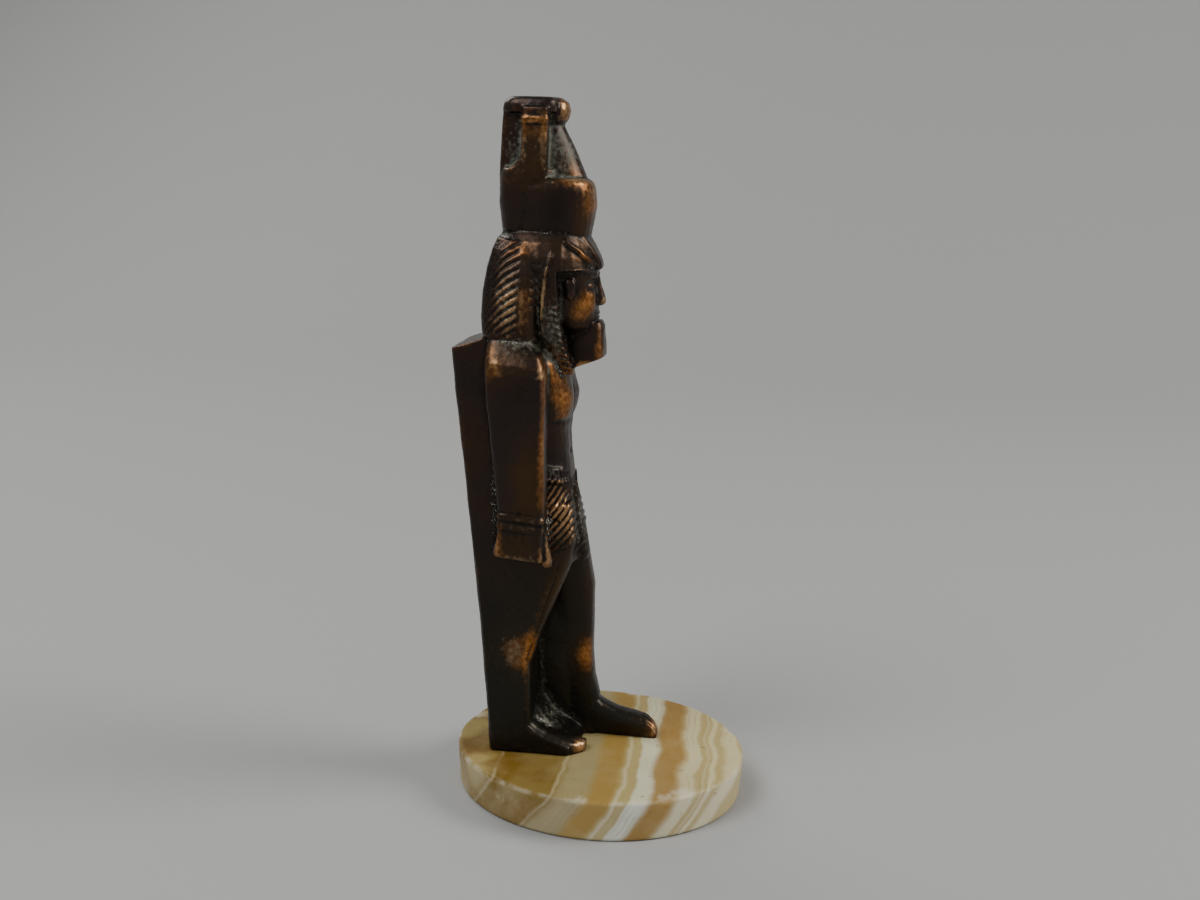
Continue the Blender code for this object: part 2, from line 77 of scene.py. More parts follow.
# Floor and light
# A plain pale floor that sweeps up behind, a soft light in front of the figure, one high
# over its back, a weaker one on its far side, and an even pale surround.


def link(name, mesh):
    thing = bpy.data.objects.new(name, mesh)
    bpy.context.scene.collection.objects.link(thing)
    return thing


def principled(name, **sockets):
    made = bpy.data.materials.new(name)
    made.use_nodes = True
    shader = made.node_tree.nodes["Principled BSDF"]
    for socket, value in sockets.items():
        shader.inputs[socket.replace("_", " ")].default_value = value
    return made, made.node_tree, shader


SWEEP_START, SWEEP_RADIUS = 0.7, 0.6
floor_bm = bmesh.new()
bmesh.ops.create_grid(floor_bm, x_segments=60, y_segments=1, size=3)
for vert in floor_bm.verts:
    # Beyond SWEEP_START the sheet bends up into a plain backdrop.
    past = max(0.0, vert.co.x - SWEEP_START)
    turn = min(past / SWEEP_RADIUS, math.pi / 2)
    vert.co.z = SWEEP_RADIUS * (1 - math.cos(turn)) + max(0.0, past - SWEEP_RADIUS * math.pi / 2)
    vert.co.x = min(vert.co.x, SWEEP_START) + SWEEP_RADIUS * math.sin(turn)
floor_mesh = bpy.data.meshes.new("floor")
floor_bm.to_mesh(floor_mesh)
floor_bm.free()
floor_mesh.shade_smooth()
floor = link("floor", floor_mesh)
floor_mesh.materials.append(principled("floor", Base_Color=(0.34, 0.34, 0.33, 1), Roughness=0.75)[0])


def area_light(name, place, aim, size, power, colour):
    data = bpy.data.lights.new(name, "AREA")
    data.shape = "DISK"
    data.size = size
    data.energy = power
    data.color = colour
    lamp = link(name, data)
    place, aim = Vector(place), Vector(aim)
    turned = (aim - place).to_track_quat("-Z", "Y").to_matrix().to_4x4()
    lamp.matrix_world = Matrix.Translation(place) @ turned


area_light("window", (0.1, -1.2, 0.95), (0, 0, 0.09), 0.8, 16, (1.0, 0.98, 0.95))
area_light("room", (-0.75, 0.7, 1.25), (0, 0, 0.09), 0.8, 15, (0.95, 0.97, 1.0))
area_light("edge", (0.75, 0.75, 0.9), (0, 0, 0.1), 0.7, 5, (1.0, 0.97, 0.92))

world = bpy.data.worlds.new("surround")
bpy.context.scene.world = world
world.use_nodes = True
surround = world.node_tree.nodes["Background"]
surround.inputs["Color"].default_value = (0.86, 0.88, 0.9, 1)
surround.inputs["Strength"].default_value = 0.44

# Figure: shared sizes and helpers
# The master figure is MASTER_HEIGHT tall. SCALE turns its millimetres into
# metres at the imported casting's height, and it stands where that stands. PILLAR is half
# the pillar's width, and SOLE_STOCK the metal that is sawn off under the soles.
figure_low, figure_high = (Vector(corner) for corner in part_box("bronze_king"))
MASTER_HEIGHT = 171.2
SCALE = (figure_high.z - figure_low.z) / MASTER_HEIGHT
PILLAR = 12.8
SOLE_STOCK = 1.5


# Lofted forms. A station is one cross-section: its place along the form, then the middle and half
# width from side to side, then where it starts and ends in the third direction.
def ring(bm, station, square, slope, along, sides):
    place, middle, half, low, high = station
    made = bmesh.ops.create_circle(bm, segments=sides, radius=1)["verts"]
    for vert in made:
        turn = math.atan2(vert.co.y, vert.co.x)
        across, deep = math.cos(turn), math.sin(turn)
        across = math.copysign(abs(across) ** (2 / square), across)
        deep = math.copysign(abs(deep) ** (2 / square), deep)
        side = middle + half * across
        other = (low + high) / 2 + (high - low) / 2 * deep
        if along == "z":
            vert.co = (side, other, place + slope * (other - (low + high) / 2))
        else:
            vert.co = (side, place, other)
    return list({edge for vert in made for edge in vert.link_edges})


def loft(bm, stations, square=2.4, slope=0.0, along="z", sides=28):
    rings = [ring(bm, station, square, slope, along, sides) for station in stations]
    for lower, upper in zip(rings, rings[1:]):
        bmesh.ops.bridge_loops(bm, edges=lower + upper)
    for end in (rings[0], rings[-1]):
        bmesh.ops.contextual_create(bm, geom=end)


def both_sides(stations):
    """The same stations for the left side and, mirrored, for the right."""
    mirrored = [(place, -middle, half, low, high) for place, middle, half, low, high in stations]
    return stations, mirrored


def add_pillar(bm):
    stations = [
        (-4 - SOLE_STOCK, 0, PILLAR, 17.0, 28.3),
        (10, 0, PILLAR, 17.5, 29.5),
        (34, 0, PILLAR, 19.0, 31.8),
        (48, 0, PILLAR, 19.8, 33.4),
        (66, 0, PILLAR, 20.9, 35.6),
        (84, 0, PILLAR, 22.0, 37.8),
        (98, 0, PILLAR, 23.0, 39.7),
        (110.8, 0, PILLAR, 24.0, 41.1),
    ]
    loft(bm, stations, square=9, slope=-0.35, sides=44)


def add_crown(bm):
    drum = [
        (134, 0, 10.0, 7.6, 29.7),
        (137, 0, 10.0, 7.2, 29.8),
        (141, 0, 10.3, 6.5, 30.3),
        (145, 0, 10.6, 5.9, 30.6),
        (148.6, 0, 10.6, 6.3, 30.6),
        (150.4, 0, 10.2, 7.0, 30.3),
        (151.4, 0, 9.4, 8.6, 29.9),
    ]
    loft(bm, drum, square=2.4)
    collar = [
        (138, 0, 9.4, 15.2, 29.7),
        (145, 0, 10.2, 14.8, 30.6),
        (150, 0, 10.2, 14.8, 30.5),
        (152.2, 0, 10.0, 15.0, 30.2),
        (153.5, 0, 9.7, 15.2, 29.8),
    ]
    loft(bm, collar, square=3)
    cone = [
        (148, 0, 7.4, 8.2, 26),
        (152, 0, 7.0, 8.8, 26),
        (157, 0, 6.1, 11.0, 26),
        (161.8, 0, 5.0, 13.5, 26),
        (165, 0, 4.2, 15.1, 26),
        (168, 0, 4.0, 15.1, 26),
    ]
    loft(bm, cone, square=2.1)
    knob = [
        (163.8, 0, 3.0, 15.4, 20),
        (165.8, 0, 4.2, 13.8, 20),
        (168, 0, 4.6, 13.3, 20),
        (170, 0, 4.2, 13.9, 20),
        (171.2, 0, 3.0, 15.8, 20),
    ]
    loft(bm, knob, square=2.3)
    back = [(148, 0, 6.2, 20, 30.6), (158, 0, 6.0, 20, 30.4), (169, 0, 5.8, 20, 29.9)]
    loft(bm, back, square=6)
    cap = [
        (167.2, 0, 7.2, 16.0, 29.8),
        (168, 0, 7.6, 15.6, 30.2),
        (169.6, 0, 7.5, 15.7, 29.9),
        (170.6, 0, 7.0, 16.2, 29.2),
        (171.2, 0, 6.2, 17.2, 28.0),
    ]
    loft(bm, cap, square=4, slope=-0.02)
    post = [(150, 7.5, 2.7, 17.6, 24.7), (158, 7.3, 2.6, 17.7, 24.4), (168.6, 6.9, 2.5, 17.8, 24.2)]
    lintel = [(164.9, 7.1, 2.9, 17.5, 24.6), (166.1, 7.1, 2.9, 17.5, 24.6)]
    # A curved fillet leads from the post down to the floor of the hollow behind it.
    fillet = [
        (152.6, 7.2, 2.4, 24, 28.0),
        (153.5, 7.2, 2.4, 24, 27.0),
        (154.2, 7.2, 2.4, 24, 26.0),
        (155.2, 7.2, 2.4, 24, 25.2),
        (156.6, 7.2, 2.4, 24, 24.6),
    ]
    for side in both_sides(post):
        loft(bm, side, square=6)
    for side in both_sides(fillet):
        loft(bm, side, square=7)
    for side in both_sides(lintel):
        loft(bm, side, square=6)


def add_headdress(bm):
    hood = [
        (138.4, 0, 9.4, 8.9, 28.9),
        (137.2, 0, 10.8, 8.0, 29.9),
        (135.2, 0, 12.4, 7.0, 30.8),
        (132, 0, 13.8, 5.6, 32.0),
        (128.6, 0, 14.5, 5.0, 32.8),
    ]
    loft(bm, hood, square=2.4)
    brow_plate = [
        (137.6, 0, 6.6, 8.3, 16),
        (136.4, 0, 6.4, 7.4, 16),
        (134.6, 0, 5.8, 6.1, 14),
        (132.4, 0, 4.9, 4.8, 12),
        (130.8, 0, 4.2, 4.0, 12),
        (129.4, 0, 3.6, 3.7, 10),
        (128.6, 0, 3.0, 4.0, 10),
    ]
    loft(bm, brow_plate, square=5)
    wings = [
        (135.4, 0, 12.0, 12.8, 30.5),
        (132.9, 0, 13.7, 14.8, 31.5),
        (128, 0, 15.4, 16.2, 32.7),
        (121.6, 0, 16.6, 16.9, 33.5),
        (115.6, 0, 17.0, 17.2, 33.8),
        (111.8, 0, 16.9, 17.0, 33.6),
        (110.6, 0, 16.5, 17.2, 33.3),
    ]
    loft(bm, wings, square=3.4, slope=0.1)
    lappet = [
        (129, 12.2, 2.2, 13.8, 19),
        (122, 11.9, 2.4, 13.3, 19),
        (117, 11.4, 2.6, 13.0, 18),
        (111, 10.0, 2.8, 11.7, 17),
        (106, 8.6, 2.8, 10.0, 15),
        (102.2, 7.2, 2.6, 9.3, 13.5),
    ]
    for side in both_sides(lappet):
        loft(bm, side, square=4, sides=20)


def add_face(bm):
    head = [
        (134, 0, 10.6, 6.2, 26),
        (130, 0, 11.2, 5.1, 26),
        (126, 0, 11.0, 4.9, 25),
        (121, 0, 10.2, 4.8, 23),
        (117, 0, 9.0, 4.8, 21),
        (114, 0, 7.0, 5.0, 20),
        (112, 0, 5.0, 5.6, 20),
        (110.6, 0, 3.4, 7.4, 20),
    ]
    loft(bm, head, square=2.3)
    nose = [
        (128, 0, 1.1, 4.9, 8),
        (124.6, 0, 1.2, 4.0, 8),
        (121.2, 0, 1.6, 2.7, 8),
        (120, 0, 2.0, 2.6, 8),
        (119.2, 0, 1.6, 3.4, 8),
    ]
    loft(bm, nose, square=2, sides=14)
    ear = [
        (121.6, 9.6, 1.0, 10.2, 11.8),
        (123, 9.9, 1.2, 9.6, 12.0),
        (125.4, 10.3, 1.2, 9.2, 12.4),
        (126.6, 10.2, 0.9, 9.8, 12.0),
    ]
    for side in both_sides(ear):
        loft(bm, side, square=2.2, sides=14)
    beard = [
        (113.4, 0, 4.4, 3.6, 15),
        (110.6, 0, 5.0, 2.8, 15),
        (107, 0, 5.6, 2.4, 14),
        (104.2, 0, 5.9, 2.4, 13),
    ]
    loft(bm, beard, square=4, slope=-0.36)


def add_torso(bm):
    neck = [(120, 0, 9.6, 14.2, 29), (112, 0, 9.2, 12.6, 29), (103, 0, 8.4, 11.2, 29)]
    loft(bm, neck, square=5)
    trunk = [
        (111.4, 0, 13.4, 17.4, 31),
        (109.4, 0, 14.2, 16.2, 31),
        (107.6, 0, 14.4, 13.8, 31),
        (105, 0, 14.8, 11.8, 31.2),
        (101, 0, 15.2, 10.9, 31.5),
        (96, 0, 14.6, 10.2, 31.5),
        (91.8, 0, 12.9, 10.4, 31),
        (86, 0, 10.8, 10.9, 30.5),
        (80.5, 0, 10.2, 10.5, 30),
        (75, 0, 11.0, 9.7, 29.5),
        (69, 0, 12.0, 9.1, 29),
        (60, 0, 12.4, 7.5, 28.5),
        (52, 0, 12.0, 6.8, 28),
    ]
    loft(bm, trunk, square=2.7)


def add_arms(bm):
    arm = [
        (112.0, 12.6, 3.2, 20.5, 29.8),
        (110.2, 13.4, 3.6, 19.0, 30.3),
        (107.9, 14.4, 4.2, 16.6, 30.6),
        (105.2, 15.3, 4.8, 15.5, 30.8),
        (102.6, 15.7, 5.0, 15.1, 30.7),
        (96, 16.0, 5.0, 14.9, 30.2),
        (87, 16.1, 4.8, 14.8, 29.0),
        (77, 16.0, 4.5, 14.5, 27.8),
        (67, 15.8, 4.2, 14.4, 26.6),
        (62, 15.7, 4.0, 14.6, 26.2),
    ]
    band = [(66.6, 15.8, 4.5, 14.1, 26.8), (63.0, 15.8, 4.5, 14.1, 26.8)]
    fist = [
        (63.4, 15.8, 4.1, 14.7, 26.3),
        (59.6, 15.8, 4.3, 14.5, 26.6),
        (56.4, 15.8, 4.8, 14.4, 27.3),
        (55.2, 15.8, 4.6, 14.6, 27.0),
    ]
    thumb = [
        (63, 16.2, 2.0, 14.0, 17.4),
        (58.6, 16.4, 2.1, 13.2, 16.2),
        (54.8, 16.6, 2.0, 12.3, 15.2),
        (53.2, 16.6, 1.6, 12.5, 14.6),
    ]
    for stations, square in ((arm, 4.6), (band, 6), (fist, 8), (thumb, 3)):
        for side in both_sides(stations):
            loft(bm, side, square=square, slope=0.08)


def add_kilt(bm):
    apron = [(72, 0, 2.8, 8.6, 16), (64, 0, 3.6, 7.0, 16), (57, 0, 4.2, 5.4, 16), (51.8, 0, 4.4, 4.7, 14)]
    loft(bm, apron, square=5)
    belt = [(78.4, 0, 11.2, 10.2, 27), (74.8, 0, 11.9, 9.6, 27)]
    loft(bm, belt, square=2.8, slope=0.16)


def add_legs(bm):
    trailing = [
        (68, -6.4, 5.6, 9.0, 26),
        (58, -6.8, 5.9, 7.4, 26),
        (50, -7.0, 5.9, 9.0, 26),
        (43, -7.1, 5.7, 11.7, 26),
        (36, -7.3, 5.5, 14.4, 26),
        (27.5, -7.7, 5.1, 17.0, 26),
        (20.5, -8.1, 4.7, 19.0, 26),
        (15.5, -8.3, 4.5, 20.0, 26),
        (8, -8.3, 4.5, 19.0, 26),
        (-SOLE_STOCK, -8.4, 4.5, 18.4, 26),
    ]
    advanced = [
        (68, 6.4, 5.6, 9.4, 26),
        (58, 6.9, 5.8, 6.9, 24),
        (48, 7.2, 5.6, 5.0, 20),
        (42, 7.4, 5.3, 3.9, 17),
        (34, 7.6, 5.0, 3.7, 15.6),
        (23, 7.8, 4.7, 3.7, 14),
        (15.5, 8.0, 4.4, 3.0, 12),
        (10.5, 8.1, 4.2, 1.6, 11.2),
        (-SOLE_STOCK, 8.2, 4.2, 0.2, 11),
    ]
    web = [(58, 7.6, 4.9, 9, 27), (30, 7.7, 4.9, 9, 27), (-SOLE_STOCK, 8.0, 4.6, 8.5, 27)]
    behind = [
        (58, -2.4, 6.4, 11.0, 26),
        (50, -2.4, 6.4, 12.8, 26),
        (43, -2.4, 6.4, 15.4, 26),
        (36, -2.4, 6.4, 18.0, 26),
        (27.5, -2.4, 6.4, 20.4, 26),
        (18, -2.4, 6.4, 21.6, 26),
        (-SOLE_STOCK, -2.4, 6.4, 21.6, 26),
    ]
    scoop = [
        (18, -4, 4, 19.4, 24),
        (12, -2, 6, 17.2, 24),
        (7, -1, 6, 13.6, 24),
        (4, 0, 6.5, 9.4, 24),
        (2.2, 0, 7, 6.2, 22),
        (-SOLE_STOCK, 0, 7, 4.6, 22),
    ]
    loft(bm, trailing, square=2.6)
    loft(bm, advanced, square=2.8)
    loft(bm, web, square=6)
    loft(bm, behind, square=6)
    loft(bm, scoop, square=5)


def add_feet(bm):
    # Stations of a foot run forwards from the ankle to the toes.
    trailing = [
        (24, -8.5, 4.3, -SOLE_STOCK, 14.5),
        (20.8, -8.5, 4.3, -SOLE_STOCK, 13.4),
        (19.6, -8.5, 4.3, -SOLE_STOCK, 11.4),
        (18.2, -8.5, 4.3, -SOLE_STOCK, 9.2),
        (16.2, -8.5, 4.3, -SOLE_STOCK, 7.2),
        (13.4, -8.5, 4.3, -SOLE_STOCK, 5.6),
        (9, -8.5, 4.3, -SOLE_STOCK, 4.0),
        (6.6, -8.1, 3.8, -SOLE_STOCK, 3.3),
        (4.6, -7.2, 2.9, -SOLE_STOCK, 2.8),
        (3.2, -6.4, 2.0, -SOLE_STOCK, 2.3),
    ]
    advanced = [
        (9, 8.2, 4.1, -SOLE_STOCK, 13),
        (3.6, 8.2, 4.1, -SOLE_STOCK, 11.2),
        (0.4, 8.2, 4.1, -SOLE_STOCK, 8.6),
        (-3.5, 8.2, 4.2, -SOLE_STOCK, 6.8),
        (-8.5, 8.2, 4.3, -SOLE_STOCK, 5.7),
        (-11.8, 7.9, 4.0, -SOLE_STOCK, 4.8),
        (-13.8, 7.2, 3.2, -SOLE_STOCK, 3.4),
        (-15.0, 6.6, 2.2, -SOLE_STOCK, 1.6),
    ]
    loft(bm, trailing, square=3.0, along="y")
    loft(bm, advanced, square=2.8, along="y")


# Carving. Each function takes the master figure's points and how they face, and says how far
# each point is pressed in.
def smooth_step(value, low, high):
    t = np.clip((value - low) / (high - low), 0, 1)
    return t * t * (3 - 2 * t)


def along_to(z, heights, values):
    return np.interp(z, heights, values)


def groove(phase, width):
    """1 in the middle of a groove that comes once in each unit of phase, 0 on the land between."""
    away = np.abs(phase - np.round(phase))
    return 1 - smooth_step(away, 0, width)


def headdress_stripes(x, y, z, facing):
    """Folds of the cloth, short beside the face and drooping steeply to the back of a smooth band."""
    height = smooth_step(z, 111.4, 112.6) * (1 - smooth_step(z, 135.0, 136.6))
    around = (y - 23) + np.clip(15.5 - np.abs(x), 0, None) * smooth_step(y, 28, 31)
    droop = 0.4 * around + 0.05 * np.clip(around, 0, None) ** 2
    reach = smooth_step(around, -0.4, 0.6) * (1 - smooth_step(around, 11, 15))
    drooping = groove((z + droop) / 2.15, 0.4) * reach
    beside = smooth_step(y, 17.4, 18.0) * (1 - smooth_step(y, 19.8, 20.4)) * (1 - smooth_step(z, 130, 131))
    short = groove((z - 0.2 * y) / 2.15, 0.36) * beside * smooth_step(z, 118, 119)
    outer = smooth_step(np.abs(x), 6, 9)
    return (0.32 * drooping + 0.24 * short) * outer * height


def headdress_edges(x, y, z, facing):
    """The raised hem of the cloth beside the face, and the ridge along the top of the brow band."""
    edge = along_to(z, (110, 115.6, 121.6, 128, 132.9), (16.4, 17.4, 17.0, 16.4, 15.1))
    beside = np.exp(-(((y - edge) / 0.42) ** 2)) * (np.abs(x) > 11) * smooth_step(z, 111, 112)
    beside = beside * (1 - smooth_step(z, 132, 134))
    ridge = along_to(y, (5.0, 5.6, 8.9, 12.2, 13.4), (129.6, 130.1, 133.6, 135.8, 136.2))
    over = (y > 4.5) * (1 - smooth_step(y, 12, 13.2)) * (np.abs(x) > 3)
    brow = np.exp(-(((z - ridge) / 0.55) ** 2)) * over
    below = smooth_step(ridge - z, 0.2, 1.0) * (z > 128.8) * over
    return -0.4 * beside - 0.45 * brow + 0.3 * below


def lappet_ribs(x, y, z, facing):
    middle = along_to(z, (102, 106, 111, 117, 122), (7.1, 8.6, 10.0, 11.4, 11.9))
    front = along_to(z, (102, 106, 111, 117, 122), (9.3, 10.0, 11.7, 13.0, 13.3))
    inside = (np.abs(x) > middle - 1.9) * (np.abs(x) < middle + 3.2) * (y < front + 2.4) * (y > front - 1)
    length = smooth_step(z, 102.4, 103.2) * (1 - smooth_step(z, 120, 122))
    return 0.36 * groove((z - 0.35 * y) / 1.6, 0.4) * length * inside


def kilt_cloth(x, y, z, facing):
    """The wrap stands proud of the thighs and rises to the front. Its pleats curve back and down."""
    side = np.abs(x)
    hem = 55.8 + 0.42 * np.clip(13 - y, 0, None) + 1.2 * np.clip(8.2 - y, 0, None) ** 1.5
    top = 75.4 + 0.16 * (y - 18)
    open_side = (1 - smooth_step(y, 16.5, 18.5)) * (side < 12.9)
    cloth = smooth_step(z, hem - 0.4, hem + 0.4) * (1 - smooth_step(z, top - 0.5, top + 0.5)) * open_side
    # The pleats start from a spine that runs down and forwards, steeply at first, and bend back.
    behind = np.linspace(0, 16, 80)
    fall = 0.9 * behind + 3.4 * (1 - np.exp(-behind / 2))
    from_spine = y + 36.4 - 0.65 * z
    away = np.interp(from_spine, behind + 0.65 * fall, behind)
    start = z + np.interp(away, behind, fall)
    pleats = groove(start / 1.3, 0.36) * smooth_step(away, 0, 0.4) * cloth
    panel = (side < 4.2) * (y < 12)
    lines = groove(side / 1.1 + 0.5, 0.4) * (from_spine <= 0) * cloth
    apron = panel * smooth_step(z, 52.4, 53.2) * (1 - smooth_step(z, 63, 64))
    hatch = groove((z * 0.7 + side) / 1.3, 0.4) * apron
    return 0.42 * pleats + 0.25 * lines + 0.25 * hatch - 0.5 * cloth * ~panel


def belt_strokes(x, y, z, facing):
    middle = z - 0.16 * (y - 18)
    inside = smooth_step(middle, 75.2, 75.7) * (1 - smooth_step(middle, 77.2, 77.7)) * (y < 19)
    return 0.3 * groove(np.arctan2(x, 21 - y) / 0.11, 0.4) * inside * (np.abs(x) > 5) * (np.abs(x) < 12.4)


def face_features(x, y, z, facing):
    """A calm, plain face: brows, almond eyes, full cheeks, a closed mouth and a chin."""
    front = (y < 10.5) * (facing[:, 1] < 0.3)
    side = np.abs(x)
    brow = np.exp(-(((side - 4.4) / 2.9) ** 4) - ((z - 127.2 + 0.05 * (side - 2) ** 2) / 0.7) ** 2)
    socket = np.exp(-(((side - 4.2) / 2.8) ** 4) - ((z - 124.9) / 1.5) ** 2)
    eyeball = np.exp(-(((side - 4.3) / 1.9) ** 4) - ((z - 124.7) / 0.8) ** 2)
    cheek = np.exp(-(((side - 5.4) / 2.8) ** 2) - ((z - 120.4) / 2.8) ** 2)
    lips = np.exp(-((x / 2.7) ** 4) - ((z - 116.7) / 1.05) ** 2)
    parting = np.exp(-((x / 2.7) ** 4) - ((z - 116.7) / 0.32) ** 2)
    chin = np.exp(-((x / 2.8) ** 2) - ((z - 114.0) / 1.0) ** 2)
    sunk = 1.2 * socket + 0.8 * parting
    raised = 1.1 * eyeball + 0.45 * brow + 0.5 * cheek + 0.9 * lips + 0.4 * chin
    return (sunk - raised) * front


def chest_forms(x, y, z, facing):
    front = (y < 16) * (facing[:, 1] < 0.1)
    side = np.abs(x)
    breast = np.exp(-(((side - 6.6) / 4.2) ** 2) - ((z - 95.0) / 4.6) ** 2)
    under = np.exp(-(((side - 6.6) / 4.0) ** 4) - ((z - 89.6) / 0.8) ** 2)
    middle = np.exp(-((x / 0.9) ** 2) - ((z - 91) / 9) ** 4)
    navel = np.exp(-((x**2 + (z - 80.6) ** 2) / 0.7**2))
    return (-1.0 * breast + 0.45 * under + 0.35 * middle + 0.6 * navel) * front


def wrist_rings(x, y, z, facing):
    outer = (np.abs(x) > 11.4) * (y < 27.4)
    level = z - 0.08 * (y - 20)
    return 0.35 * np.exp(-(((level - 64.8) / 0.7) ** 2)) * outer * (np.abs(facing[:, 2]) < 0.7)


def flush_sides(x, y, z, facing):
    """The outer sides of the legs are dressed flush with the pillar's."""
    side = np.abs(x)
    outer = smooth_step(np.abs(facing[:, 0]), 0.8, 0.95) * (side > PILLAR - 0.8)
    return np.clip(side - PILLAR, -0.5, 0.5) * outer * (1 - smooth_step(z, 52, 54))


def toe_grooves(x, y, z, facing):
    top = facing[:, 2] > 0.15
    advanced = smooth_step(-y, 10.0, 11.0) * (x > 4) * groove((x - 8.2 + 0.65) / 1.6 + 0.5, 0.3)
    trailing = smooth_step(-y, -7.4, -6.4) * (x < -4.4) * (z < 6) * groove((x + 8.6) / 1.6 + 0.5, 0.3)
    return (0.22 * advanced + 0.08 * trailing) * top


def soften_web(mesh, rounds):
    """Rounds the corners of the hollow between the legs, where the casting is one smooth scoop."""
    bm = bmesh.new()
    bm.from_mesh(mesh)

    def between_legs(vert):
        x, y, z = vert.co
        return -10.8 < x < 4.6 and 4.0 < y < 25 and 1.2 < z < 54 and vert.normal.y < 0.3

    hollow = [vert for vert in bm.verts if between_legs(vert)]
    for _ in range(rounds):
        bmesh.ops.smooth_vert(bm, verts=hollow, factor=0.5, use_axis_x=True, use_axis_y=True, use_axis_z=True)
    bm.to_mesh(mesh)
    bm.free()


CARVINGS = (
    headdress_stripes,
    headdress_edges,
    lappet_ribs,
    kilt_cloth,
    belt_strokes,
    face_features,
    chest_forms,
    wrist_rings,
    flush_sides,
    toe_grooves,
)


# Figure: casting
# The joined forms are remeshed finely, smoothed a little, carved, and given
# the small unevenness of a sand casting before the soles are sawn flat.
VOXEL = 0.37
FIGURE_TRIANGLES = 190000
SMOOTHING_ROUNDS = 4
WEB_ROUNDS = 26
WAVE_HEIGHT, WAVE_PACE = 0.16, 0.16
GRAIN_HEIGHT, GRAIN_PACE = 0.05, 0.9


def apply_modifier(thing, kind, **settings):
    modifier = thing.modifiers.new(kind.title(), kind)
    for key, value in settings.items():
        setattr(modifier, key, value)
    bpy.context.view_layer.update()
    graph = bpy.context.evaluated_depsgraph_get()
    made = bpy.data.meshes.new_from_object(thing.evaluated_get(graph))
    thing.modifiers.clear()
    thing.data = made


def read(mesh, what):
    values = np.empty(len(mesh.vertices) * 3)
    mesh.vertices.foreach_get(what, values)
    return values.reshape(-1, 3)


def write(mesh, points):
    mesh.vertices.foreach_set("co", points.ravel())
    mesh.update()


def carve(mesh):
    points, facing = read(mesh, "co"), read(mesh, "normal")
    x, y, z = points.T
    pressed = sum(carving(x, y, z, facing) for carving in CARVINGS)
    write(mesh, points - facing * pressed[:, None])


def spread(mesh, values, rounds):
    """Averages values over each point and its neighbours, the given number of times."""
    edges = np.empty(len(mesh.edges) * 2, dtype=np.int64)
    mesh.edges.foreach_get("vertices", edges)
    a, b = edges.reshape(-1, 2).T
    count = np.bincount(a, minlength=len(values)) + np.bincount(b, minlength=len(values)) + 1.0
    for _ in range(rounds):
        columns = []
        for column in np.atleast_2d(values.T):
            total = column + np.bincount(a, column[b], len(column)) + np.bincount(b, column[a], len(column))
            columns.append(total / count)
        values = np.array(columns).T.squeeze()
    return values


def sand_cast(mesh):
    """The skin of a casting: slow waves and a fine grain."""
    points, facing = read(mesh, "co"), read(mesh, "normal")
    elsewhere = Vector((7, 3, 1))
    wave = np.array([noise.noise(Vector(p) * WAVE_PACE) for p in points])
    grain = np.array([noise.noise(Vector(p) * GRAIN_PACE + elsewhere) for p in points])
    write(mesh, points + facing * (WAVE_HEIGHT * wave + GRAIN_HEIGHT * grain)[:, None])


def saw_soles(mesh):
    bm = bmesh.new()
    bm.from_mesh(mesh)
    everything = bm.verts[:] + bm.edges[:] + bm.faces[:]
    bmesh.ops.bisect_plane(bm, geom=everything, plane_co=(0, 0, 0), plane_no=(0, 0, -1), clear_outer=True)
    bmesh.ops.holes_fill(bm, edges=[edge for edge in bm.edges if edge.is_boundary])
    bmesh.ops.triangulate(bm, faces=bm.faces[:])
    bm.to_mesh(mesh)
    bm.free()


FORMS = (add_pillar, add_crown, add_headdress, add_face, add_torso, add_arms, add_kilt, add_legs, add_feet)

bm = bmesh.new()
for add_form in FORMS:
    add_form(bm)
bmesh.ops.recalc_face_normals(bm, faces=bm.faces[:])
figure_mesh = bpy.data.meshes.new("figure")
bm.to_mesh(figure_mesh)
bm.free()
figure = link("figure", figure_mesh)
apply_modifier(figure, "REMESH", mode="VOXEL", voxel_size=VOXEL, use_smooth_shade=True)
apply_modifier(figure, "SMOOTH", factor=0.5, iterations=SMOOTHING_ROUNDS)
soften_web(figure.data, WEB_ROUNDS)
carve(figure.data)
sand_cast(figure.data)
faces_now = 2 * len(figure.data.polygons)
if faces_now > FIGURE_TRIANGLES:
    apply_modifier(figure, "DECIMATE", ratio=FIGURE_TRIANGLES / faces_now)
saw_soles(figure.data)

# Figure: where it is worn, green and dusty, and where light is painted
# Six marks per point: copper-coloured, warm brown (partly painted light), pale gold (partly painted
# highlight), green, dusty and blackened. They come from how far a point stands out of its surroundings, and
# from patches placed as the photo shows.
# A patch is its centre, its reach along each direction and its strength.
FINE_ROUNDS, BROAD_ROUNDS = 6, 40


def patch(points, centre, reach):
    """1 at the centre of a soft spot, fading to 0 at its reach along each direction."""
    away = (points - np.array(centre)) / np.array(reach)
    return np.exp(-1.6 * (away**2).sum(axis=1))


